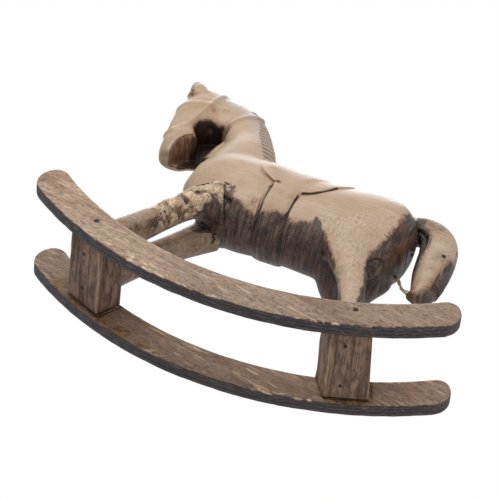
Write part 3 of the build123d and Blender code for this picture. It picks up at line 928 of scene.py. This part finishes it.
def carved_material():
    n, mm = new_material("carved_wood_lacquered")
    stain, hollow, ridge, haunch, pocket = n.painted("stain", "hollow", "ridge", "haunch", "pocket")
    raw, warm, brown, dull, rusty = n.painted("raw", "warm", "brown", "dull", "rust")
    # Growth rings run along the length of the horse and are slightly wavy.
    bent = n.bend(mm, (0.012, 0.03, 0.03), (0, 7, 9))
    axis = n.stretch(bent, (0.02, 1, 1), (0, 70, 45), -4)
    reach = n.add("ShaderNodeVectorMath", (axis,), "Value", operation="LENGTH")
    rings = n.math("SINE", reach * (2 * math.pi / 1.75)) * 0.5 + 0.5
    uneven = n.noise(mm, (0.02, 0.3, 0.3), 2.0, 0.6)
    rings = n.math("POWER", rings, 1.6) * uneven.ramp(0.35, 0.65, 0.15, 1.0)
    fibre = n.noise(mm, (0.035, 1.1, 1.1), 4.0, 0.62)
    fleck = n.noise(mm, (0.10, 2.4, 2.4), 3.0, 0.6)
    cloud = n.noise(mm, (0.02, 0.035, 0.035), 3.0, 0.5)
    short = n.noise(n.stretch(mm, (1.3, 0.5, 0.35), turn=35), 1.0, 4.0, 0.7)
    mottle = n.noise(mm, 0.35, 4.0, 0.65)

    brushed = short.ramp(0.38, 0.6).between((160, 126, 96), (222, 200, 174))
    patchy = warm * n.noise(mm, 0.12, 4.0, 0.6).ramp(0.3, 0.7, 0.35, 1.0)
    rubbed = fibre.ramp(0.4, 0.6).between((90, 66, 53), (158, 130, 108)).covered(
        (mottle.ramp(0.46, 0.6) * 0.7, (76, 52, 40)))
    grime = mottle.ramp(0.56, 0.68) * fleck.ramp(0.42, 0.6)
    tan = cloud.ramp(0.3, 0.7).between((200, 174, 148), (182, 152, 121)).covered(
        (rings * 0.32, (152, 117, 86)),
        (fibre.ramp(0.42, 0.72) * 0.35, (222, 198, 172)),
        (fleck.ramp(0.58, 0.75) * 0.3, (140, 104, 74)),
        (haunch * cloud.ramp(0.35, 0.6, 0.3, 0.7), brushed),
        (patchy * 0.7, (172, 138, 102)),
        (brown * mottle.ramp(0.28, 0.5, 0.55, 1.0), rubbed),
        (grime * (warm * 0.35 + 0.18), (96, 66, 44)),
        # Painted reflection: the crest and forehead greyer.
        (dull * fibre.ramp(0.3, 0.6, 0.25, 0.6), (172, 163, 160)))

    # The dark finish breaks up into fibres at its edge, with a thin orange-brown fringe.
    across = n.noise(mm, (0.75, 0.16, 0.20), 4.0, 0.7)
    speck = n.noise(mm, 1.5, 3.0, 0.6)
    wide = n.noise(mm, 0.13, 3.0, 0.6)
    edge_zone = stain.ramp(0.02, 0.3) * stain.ramp(1.0, 0.8, 0.35, 1.0)
    ragged = (across - 0.5) * 1.3 + (speck - 0.5) * 0.7 + (wide - 0.5) * 1.1
    # Painted shade in hollows and cut lines draws in the dark finish.
    ragged = stain + ragged * edge_zone + hollow * 0.9
    full = ragged.ramp(0.44, 0.72)
    streak = n.noise(mm, (0.5, 0.05, 0.07), 6.0, 0.72)
    streaks_and_sheen = n.noise(mm, (0.9, 0.035, 0.05), 3.0, 0.6)
    rust = streak.ramp(0.4, 0.62).between((46, 26, 17), (112, 70, 44))
    dark = streak.ramp(0.38, 0.66).between((46, 34, 29), (116, 91, 76)).covered(
        # Painted sheen: pale glossy streaks on the dark finish, and dark streaks from the same noise.
        (streaks_and_sheen.ramp(0.6, 0.7) * 0.6, (156, 134, 118)),
        (streaks_and_sheen.ramp(0.40, 0.32) * 0.6, (28, 21, 19)),
        (wide.ramp(0.45, 0.62) * 0.6, (38, 29, 27)),
        (mottle.ramp(0.58, 0.72) * 0.55, (116, 68, 38)),
        (speck.ramp(0.56, 0.66) * 0.42, (160, 128, 102)),
        (speck.ramp(0.46, 0.36) * 0.6, (28, 20, 18)),
        (rusty * wide.ramp(0.38, 0.58, 0.1, 0.85), rust),
        # Painted shade: near black in hollows and cut lines.
        (hollow.ramp(0.3, 0.9, 0.0, 0.9), (22, 15, 12)))
    # The sawn end of the jaw, and the stained pocket behind it, painted near black with its shade, darkest
    # deep inside.
    sawn = n.noise(mm, (0.4, 0.07, 1.5), 3.0, 0.6)
    jaw = sawn.ramp(0.42, 0.6).between((96, 67, 47), (170, 130, 98))
    black = sawn.ramp(0.4, 0.7).between((24, 16, 13), (64, 44, 33))
    wear_and_shade = pocket + (mottle - 0.5) * pocket.ramp(0.0, 0.1, 0.0, 0.5)
    # Filler and bare wood on the chipped shoulder.
    filler = short.ramp(0.4, 0.6).between((178, 144, 108), (236, 212, 178)).covered(
        (speck.ramp(0.6, 0.68), (112, 84, 66)))
    colour = tan.covered(
        (ragged.ramp(0.18, 0.5) * 0.75, (146, 104, 68)),
        (full, dark),
        (ridge * (full * -0.35 + 0.55), (214, 190, 165)),
        (wear_and_shade.ramp(0.04, 0.3, 0.0, 0.92), pocket.ramp(0.35, 0.85).between(jaw, black)),
        (raw * mottle.ramp(0.34, 0.46), filler),
        # Painted shade in the hollows of the chips.
        (raw * hollow * 0.7, (74, 54, 44)))
    rough = fibre * 0.18 + (full * -0.03 + 0.36)
    height = rings * -0.16 + fibre * 0.5 + across * full * 1.3 + short * haunch * 1.6
    return n.finish(colour, rough, height, 0.22, specular=0.36, coat=0.13, coat_rough=0.22)


def make_horse():
    field = carve_horse()
    blocks = split_horse(field)
    soft = field.blurred(1.6)
    material = carved_material()
    for name, block in blocks.items():
        mesh, p, n = field.skin(name + "_carved", 2, 0.45, block)
        x, y, z = p.T
        swell = field.swell(soft, p)
        stain = horse_stain(name, p, n)
        paint(mesh, hollow=dark_lines(p, swell), ridge=fade(swell, 0.35, 0.9), haunch=haunch_zone(p),
              brown=brown_zone(name, p, n), rust=rust_zone(p), warm=warm_zone(p), dull=crest_sheen_zone(p))
        if name == "horse_body":
            # The pocket's painted shade deepens toward its inside.
            deep = 0.3 + 0.7 * most(fade(z, 184, 192), fade(x, 98.5, 96))
            paint(mesh, pocket=head_pocket(p) * (z < 222) * deep)
        if name == "left_foreleg":
            large, small = (field.sample(lumps, p) for lumps in chip_noise(field))
            zone = damage_zone(x, y, z)
            bare = zone * most(fade(large, 0.10, 0.22), fade(large, -0.32, -0.45))
            stain = most(stain, (0.38 + 0.25 * fade(small, 0, 0.4)) * zone * (1 - bare))
            paint(mesh, raw=bare)
        paint(mesh, stain=stain)
        add_piece(name, mesh, material)


# ---- rockers

# The rockers are arcs about a line at this height. On each side the board lies between two planes.
ARC_Z = 238.0
SOLE_R, TOP_R = 238.0, 213.0
INNER_FACE, OUTER_FACE = 27.0, 36.0
# The crossbars' angles along the arc, the radius of their lower faces, and half their width.
FRONT_BAR, REAR_BAR = 24.2, -23.3
FOOT_R = 233.5
HALF_BAR = 15


def on_arc(angle, radius):
    turn = math.radians(angle)
    return radius * math.sin(turn), ARC_Z - radius * math.cos(turn)


def arc_radius(x, z):
    return np.sqrt(x ** 2 + (z - ARC_Z) ** 2)


def ellipsoid_mask(p, centre, radii, turn, grow=0.35):
    """1 where points lie in or just outside a turned ellipsoid."""
    q = (p - np.array(centre)) @ euler(turn) / (np.array(radii) + grow)
    return fade(np.linalg.norm(q, axis=1), 1.1, 0.85)


def rocker_chips(rng, face_y, spans):
    """Splintered chips along the sole edge of a board's face, at angles given in spans."""
    chips = []
    for low, high, count, size in spans:
        for _ in range(count):
            angle = rng.uniform(low, high)
            long = rng.uniform(1.5, 5.5) * size
            x, z = on_arc(angle, SOLE_R - 0.6 - rng.uniform(0.2, 3.4) * size)
            chips.append(((x, face_y, z), (long, rng.uniform(0.25, 0.5), rng.uniform(0.35, 0.95) * size),
                          (0, -angle + rng.uniform(-16, 4), 0)))
    return chips


def tear_zone(x, z, tears):
    """1 on the band along the sole where the veneer is torn. Each tear is two angles and a width."""
    angles = np.degrees(np.arctan2(x, ARC_Z - z))
    depth = SOLE_R - arc_radius(x, z)
    return most(*(fade(angles, first - 2, first + 2) * fade(angles, last + 2, last - 2)
                  * fade(depth, reach, reach * 0.5) for first, last, reach in tears))


def carve_board(field, face_y, far_y, tears, chips, seed):
    """Round and damage a board, and return the noise that frays its torn veneer."""
    # Slightly rounded, knocked and uneven edges.
    field.d += 0.8 * (field.blurred(0.8, 1) - field.d)
    rough = field.noise(2.2, seed + 1, (2.0, 1, 1))
    radius = arc_radius(field.x, field.z)
    near_sole = near_surface(SOLE_R - radius, 1.2)
    near_top = near_surface(radius - TOP_R, 1.0)
    field.d += (0.05 + 0.10 * most(near_sole, 0.6 * near_top)) * rough + 0.06 * field.noise(9, seed + 2)
    # Glue lines between the plies show as fine grooves round the edge.
    depth = np.abs(field.y) - INNER_FACE
    layers = (1.3 * deep * bell(depth - line, 0.40) for line, deep in ((1.7, 0.28), (4.4, 0.34), (7.2, 0.28)))
    field.d += most(*layers) * (near_sole + near_top)
    shreds = field.noise(1.1, seed + 5, (2.6, 1, 1))
    face = fade(np.abs(field.y - face_y), 1.5, 0.5)
    field.d += face * tear_zone(field.x, field.z, tears) * 0.5 * fade(shreds, 0.0, 0.25)
    for centre, radii, lean in chips:
        field.pit(centre, radii, k=0.35, turn=lean)
    # Nail pits, each with a second small pit beside it.
    for angle, radius in ((24.6, 224.0), (-23.3, 221.0)):
        x, z = on_arc(angle + 1.05, radius + 0.3)
        field.pit((x, far_y, z), (1.5, 0.9, 1.1), k=0.4)
        x, z = on_arc(angle, radius)
        field.pit((x, far_y, z), (2.3, 0.35, 2.3), k=0.3)
    return shreds


def chip_mask(p, chips):
    """1 on every second chip, where pale wood shows."""
    mask = np.zeros(len(p))
    for centre, radii, lean in chips[::2]:
        close = np.abs(p[:, 0] - centre[0]) < max(radii) + 2
        mask[close] = most(mask[close], ellipsoid_mask(p[close], centre, radii, lean))
    return mask


def glue_mask(p):
    """1 where glue has run out on a board's inner face."""
    x, y, z = p.T
    runs = []
    for angle, radius, span in ((31, 233, 7), (26, 235.5, 7), (20, 235.5, 7), (15.5, 233.5, 6), (11, 233, 4),
                                (REAR_BAR, 225, 18)):
        run_x, run_z = on_arc(angle, radius)
        runs.append(fade(np.hypot(x - run_x, z - run_z) / span, 1.3, 0.7))
    return most(*runs) * fade(OUTER_FACE - np.abs(y), 6, 8)


def gap_mask(p):
    """1 along the shadowed joint round each crossbar's foot."""
    x, y, z = p.T
    gaps = []
    for angle in (FRONT_BAR, REAR_BAR):
        foot_x, foot_z = on_arc(angle, FOOT_R)
        c, s = math.cos(math.radians(angle)), math.sin(math.radians(angle))
        u = (x - foot_x) * c + (z - foot_z) * s
        w = (z - foot_z) * c - (x - foot_x) * s
        gaps.append(inside(np.abs(most(np.abs(u) - HALF_BAR, -w) - 0.2) - 0.45, 0.3) * (w < 22))
    return most(*gaps) * fade(OUTER_FACE - np.abs(y), 6, 8)


def make_rocker(node, face_y, far_y, spans, tears, seed, turn, shade, material):
    """A board whose worn face is at face_y and whose nail pits are at far_y, rolled by turn degrees; shade
    gives its painted shade along X.
    """
    field = node_field(node, BOARD_CELL)
    chips = rocker_chips(np.random.default_rng(seed), face_y, spans)
    shreds = carve_board(field, face_y, far_y, tears, chips, seed)
    mesh, p, n = field.skin(node + "_board")
    x, y, z = p.T
    swell = field.swell(field.blurred(1.2), p)
    radius = arc_radius(x, z)
    chip = chip_mask(p, chips)
    burn = 0.9 + 1.3 * fade(x, -45, -75) * (face_y > 0)
    torn = tear_zone(x, z, tears) * fade(n[:, 1], 0.35, 0.7)
    bare = fade(field.sample(shreds, p), 0.02, 0.22)
    paint(mesh, edge=fade(np.abs(n[:, 1]), 0.75, 0.45) * (1 - 0.8 * chip), chip=chip,
          char=most(near_surface(SOLE_R - radius, burn), 0.8 * near_surface(radius - TOP_R, 0.7)),
          ridge=fade(swell, 0.25, 0.7), hollow=fade(swell, -0.08, -0.4), glue=glue_mask(p), gap=gap_mask(p),
          shade=shade(x), torn=torn * bare, ragged=torn * (1 - bare))
    if turn:
        pivot = Matrix.Translation((0, 0, ARC_Z * MM))
        mesh.transform(pivot @ Matrix.Rotation(math.radians(turn), 4, "Y") @ pivot.inverted())
    add_piece(node, mesh, material)


def rocker_material():
    n, mm = new_material("stained_plywood")
    edge, char, chip, ridge, hollow = n.painted("edge", "char", "chip", "ridge", "hollow")
    glue, shade, torn, ragged, gap = n.painted("glue", "shade", "torn", "ragged", "gap")
    grain = n.stretch(mm, (1, 1, 1), turn=11)
    bent = n.bend(grain, (0.02, 0.2, 0.06), (0, 0, 5))
    band = n.noise(bent, (0.016, 0.4, 0.22), 4.0, 0.6)
    line = n.noise(bent, (0.055, 1.0, 1.15), 3.0, 0.65)
    dash = n.noise(bent, (0.22, 1.5, 1.9), 2.0, 0.5)
    grit = n.noise(mm, 1.6, 3.0, 0.7)
    cloud = n.noise(mm, (0.03, 0.1, 0.05), 2.0, 0.5)
    mottle = n.noise(grain, (0.22, 0.5, 0.42), 4.0, 0.7)
    sliver = n.noise(bent, (0.04, 0.9, 0.42), 3.0, 0.6)
    char = char + (n.noise(bent, (0.15, 0.6, 0.6), 4.0, 0.7) - 0.5) * 1.5

    dried = mottle.ramp(0.42, 0.6).between((150, 110, 54), (84, 58, 36))
    face = band.ramp(0.36, 0.62).between((156, 124, 97), (202, 172, 144)).covered(
        (cloud.ramp(0.45, 0.6) * 0.5, (198, 168, 138)),
        (cloud.ramp(0.47, 0.37) * 0.55, (150, 106, 72)),
        # Painted shade: the far board darker all over, the near board darker toward its rear.
        (shade * 0.6, (94, 66, 44)),
        (mottle.ramp(0.48, 0.62) * 0.55, (94, 68, 54)),
        (line.ramp(0.5, 0.66) * 0.5, (98, 72, 56)),
        (dash.ramp(0.54, 0.64) * 0.65, (64, 46, 38)),
        (sliver.ramp(0.6, 0.68) * 0.55, (228, 198, 162)),
        (grit.ramp(0.54, 0.68) * 0.5, (206, 180, 156)),
        (glue * grit.ramp(0.34, 0.56, 0.15, 0.9), dried),
        (char.ramp(0.42, 0.75), (56, 44, 42)))

    # The sawn edge is black, with a stripe of paler wood in each ply.
    across = n.add("ShaderNodeSeparateXYZ", (mm,), 1)
    plies = (n.math("ABSOLUTE", across) - INNER_FACE + 0.95) * (1 / 2.7)
    stripe = n.math("ABSOLUTE", n.math("FRACT", plies) - 0.5).ramp(0.33, 0.47)
    scuff = n.noise(mm, (0.12, 0.9, 0.5), 5.0, 0.7)
    black = scuff.ramp(0.46, 0.74).between((42, 38, 41), (106, 97, 94)).covered(
        (stripe * scuff.ramp(0.35, 0.62, 0.15, 0.8), (118, 92, 78)),
        # Painted shade in the hollows of the edge.
        (hollow * 0.8, (24, 21, 22)),
        (grit.ramp(0.62, 0.76) * 0.5, (152, 138, 128)))
    # Torn veneer, chips, rubbed edges, and painted shadow in the joint at the crossbars.
    raw = line.ramp(0.35, 0.66).between((214, 184, 148), (120, 88, 62))
    splinter = n.noise(bent, (0.20, 0.8, 0.6), 4.0, 0.7)
    frayed = splinter.ramp(0.42, 0.58).between((150, 116, 86), (226, 200, 164))
    colour = face.covered(
        (edge, black),
        (torn * splinter.ramp(0.36, 0.5, 0.15, 0.9), frayed),
        (ragged * splinter.ramp(0.4, 0.58, 0.0, 0.6), (84, 60, 48)),
        (chip * grit.ramp(0.3, 0.5, 0.35, 1.0), raw),
        (ridge * grit.ramp(0.42, 0.6) * 0.6, (186, 160, 138)),
        (gap * mottle.ramp(0.36, 0.46, 0.35, 1.0), (13, 9, 7)))
    height = dash * -0.7 + line * -0.6 + grit * 0.35 + scuff * edge * 0.5
    return n.finish(colour, line * 0.22 + 0.42, height, 0.28, specular=0.4, coat=0.12, coat_rough=0.35)


# ---- crossbars

def carve_bar(field, base, across, up, nail_x, nail_y, seed):
    keep_ends = fade(INNER_FACE - np.abs(field.y), 0.3, 2.5)
    rough = field.noise(3.0, seed, (1, 2.2, 1))
    field.d += (field.blurred(1.1) - field.d) * (0.5 + 0.5 * np.clip(rough, -1, 1)) * keep_ends
    field.d += (0.12 * field.noise(7.0, seed + 1, (1, 2.5, 1)) + 0.06 * rough) * keep_ends
    # An open glue line where the end grain meets each rocker.
    open_line = bell(INNER_FACE - np.abs(field.y), 0.7)
    field.d += 0.9 * open_line * fade(rough - 0.2 * field.y / INNER_FACE, -0.5, 0.1)
    # Bruised wood closes over the rim of each nail head.
    for y in (-nail_y, nail_y):
        middle = base + across * nail_x + 0.1 * up + (0, y, 0)
        field.tube([middle + 1.9 * (math.cos(t) * across + math.sin(t) * np.array((0, 1, 0)))
                    for t in np.linspace(0, 2 * math.pi, 13)], 0.45, k=0.3, add=True)
    # Long checks and splinters in the saw direction, on the sole and the two sides.
    rng = np.random.default_rng(seed + 2)
    for _ in range(16):
        face = rng.integers(0, 3)
        run = rng.uniform(-13, 13)
        rise = rng.uniform(2, 18)
        spot = base + (across * run, across * HALF_BAR + up * rise, across * -HALF_BAR + up * rise)[face]
        start = spot + (0, rng.uniform(-24, 14), 0)
        end = start + (0, rng.uniform(4, 12), 0) + across * rng.uniform(-0.8, 0.8)
        middle = (start + end) / 2 + up * rng.uniform(-0.3, 0.3)
        field.tube([start, middle, end], [0.1, rng.uniform(0.25, 0.5), 0.1], k=0.3)


def make_bar(node, angle, nail_angle, nail_y, seed, material, pale_sides):
    """A crossbar. Each pale side is a place across and up the bar, a stretch along it, and a width."""
    field = node_field(node, BAR_CELL)
    turn = math.radians(angle)
    across = np.array((math.cos(turn), 0, math.sin(turn)))
    up = np.array((-math.sin(turn), 0, math.cos(turn)))
    foot_x, foot_z = on_arc(angle, FOOT_R)
    base = np.array((foot_x, 0, foot_z))
    nail_x = FOOT_R * math.tan(math.radians(nail_angle - angle))
    carve_bar(field, base, across, up, nail_x, nail_y, seed)
    mesh, p, n = field.skin(node + "_block")
    swell = field.swell(field.blurred(1.6), p)
    u, w, y = (p - base) @ across, (p - base) @ up, p[:, 1]
    pale = most(*(fade(np.hypot(u - run, w - rise), width, width * 0.4)
                  * fade(y, low_y - 4, low_y + 4) * fade(y, high_y + 4, high_y - 4)
                  for run, rise, low_y, high_y, width in pale_sides))
    paint(mesh, ridge=fade(swell, 0.42, 1.0), hollow=fade(swell, -0.08, -0.45), pale=pale,
          ends=near_surface(y + INNER_FACE, 1.6) + near_surface(INNER_FACE - y, 1.4))
    add_piece(node, mesh, material)


def bar_material():
    n, mm = new_material("weathered_softwood")
    ridge, hollow, ends, pale = n.painted("ridge", "hollow", "ends", "pale")
    band = n.noise(mm, (0.20, 0.015, 0.20), 4.0, 0.6, 0.4)
    line = n.noise(mm, (0.85, 0.05, 0.85), 4.0, 0.65)
    dash = n.noise(mm, (1.6, 0.16, 1.6), 2.0, 0.55)
    grit = n.noise(mm, 1.3, 4.0, 0.7)
    blotch = n.noise(mm, (0.3, 0.12, 0.3), 4.0, 0.7)
    wear_and_shade = grit.ramp(0.34, 0.55, 0.25, 1.0) * blotch.ramp(0.42, 0.56, 0.15, 0.85)
    wear_and_shade = wear_and_shade * n.math("MAXIMUM", ridge, pale)
    stained = dash.ramp(0.5, 0.62).between((40, 27, 20), (146, 104, 50))
    colour = band.ramp(0.36, 0.6).between((84, 62, 50), (156, 124, 100)).covered(
        (blotch.ramp(0.48, 0.6) * 0.65, (72, 49, 36)),
        (line.ramp(0.46, 0.7) * 0.65, (48, 36, 31)),
        (dash.ramp(0.56, 0.72) * 0.5, (156, 126, 100)),
        (grit.ramp(0.55, 0.72) * 0.5, (146, 128, 116)),
        (wear_and_shade, line.ramp(0.4, 0.6).between((192, 164, 132), (140, 108, 82))),
        (ends * grit.ramp(0.3, 0.5), stained),
        # Painted shade: near black in the joints at both ends and in hollows.
        ((ends + grit * 0.3).ramp(0.5, 0.62), (10, 7, 6)),
        (hollow * 0.85, (24, 18, 15)))
    height = line * -1.0 + grit * 0.7 + dash * 0.5
    return n.finish(colour, line * 0.25 + 0.5, height, 0.30, specular=0.35)


# ---- small parts

def nail_material():
    n, mm = new_material("dull_nail_steel")
    rust = n.noise(mm, 1.4, 4.0, 0.65)
    pits = n.noise(mm, 3.5, 2.0, 0.6)
    colour = rust.ramp(0.45, 0.65).between((58, 56, 56), (74, 48, 34))
    return n.finish(colour, pits * 0.3 + 0.35, rust + pits, 0.08, specular=0.6, metal=0.85)


def dowel_material():
    n, mm = new_material("turned_beech")
    line = n.noise(mm, (0.3, 1.4, 0.3), 4.0, 0.6)
    fleck = n.noise(mm, 2.2, 2.0, 0.5)
    colour = line.ramp(0.4, 0.65).between((208, 176, 136), (168, 130, 92)).covered(
        (fleck.ramp(0.6, 0.7) * 0.5, (140, 102, 70)))
    return n.finish(colour, line * 0.2 + 0.5, line, 0.1, specular=0.35)


def glue_material():
    n, mm = new_material("hardened_wood_glue")
    cloud = n.noise(mm, 0.45, 3.0, 0.6)
    spots = n.noise(mm, 1.6, 3.0, 0.6)
    colour = cloud.ramp(0.4, 0.6).between((222, 206, 176), (172, 142, 100)).covered(
        (spots.ramp(0.58, 0.7) * 0.6, (96, 76, 52)))
    return n.finish(colour, spots * 0.3 + 0.25, cloud + spots, 0.2, specular=0.5)


def make_glue_strand(material):
    field = node_field("glue_strand", STRAND_CELL, 4)
    rng = np.random.default_rng(8)
    points = smooth_line([(-78.5, -10.0, 138), (-82.4, -8, 132.1), (-87.6, -6.5, 123.7), (-92.1, -4.5, 119.6),
                          (-97.5, -2.5, 114.2), (-101.5, -1.0, 110.6)], 5)
    for i, p in enumerate(points):
        size = 0.55 + 0.35 * rng.random() + 1.15 * fade(i / len(points), 0.45, 0.7)
        field.blob(np.array(p) + rng.uniform(-0.3, 0.3, 3), (size * 1.2, size, size * 1.1), k=0.7)
    field.d += field.noise(1.6, 9) * 0.22
    add_piece("glue_strand", field.skin("glue_strand_lumpy", 2)[0], material)


def dress_nodes(material, *nodes):
    """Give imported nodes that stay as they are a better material."""
    for node in nodes:
        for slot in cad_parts[node].material_slots:
            slot.material = material


make_camera()
make_stage()
make_horse()
plywood = rocker_material()
make_rocker("left_rocker", OUTER_FACE, OUTER_FACE, [(7, 21, 22, 0.9), (-6, 6, 6, 0.5), (-34, -12, 9, 0.5)],
            [(8, 21, 9.5), (-1, 5, 3), (-25, -16, 2.5)], 31, 0.0, lambda x: 0.64 * fade(x, 75, 0), plywood)
make_rocker("right_rocker", -INNER_FACE, -OUTER_FACE, [(-20, -6, 8, 0.6), (2, 14, 3, 0.5)],
            [(-20, -8, 4.0), (8, 10, 6.0)], 47, 0.4, lambda x: 0.95 - 0.15 * fade(x, 0, -60), plywood)
softwood = bar_material()
make_bar("front_crossbar", FRONT_BAR, 24.4, 13.5, 61, softwood,
         [(-15, 0, -30, 30, 2.6), (15, 0, -30, 30, 1.2)])
make_bar("rear_crossbar", REAR_BAR, -22.2, 16, 71, softwood, [(15, 1, -30, 14, 4.5), (17, 10, -30, 2, 3.0)])
make_glue_strand(glue_material())
dress_nodes(nail_material(), "hoof_nails", "left_rocker_nails", "right_rocker_nails")
dress_nodes(dowel_material(), "leg_dowels", "tail_dowel")
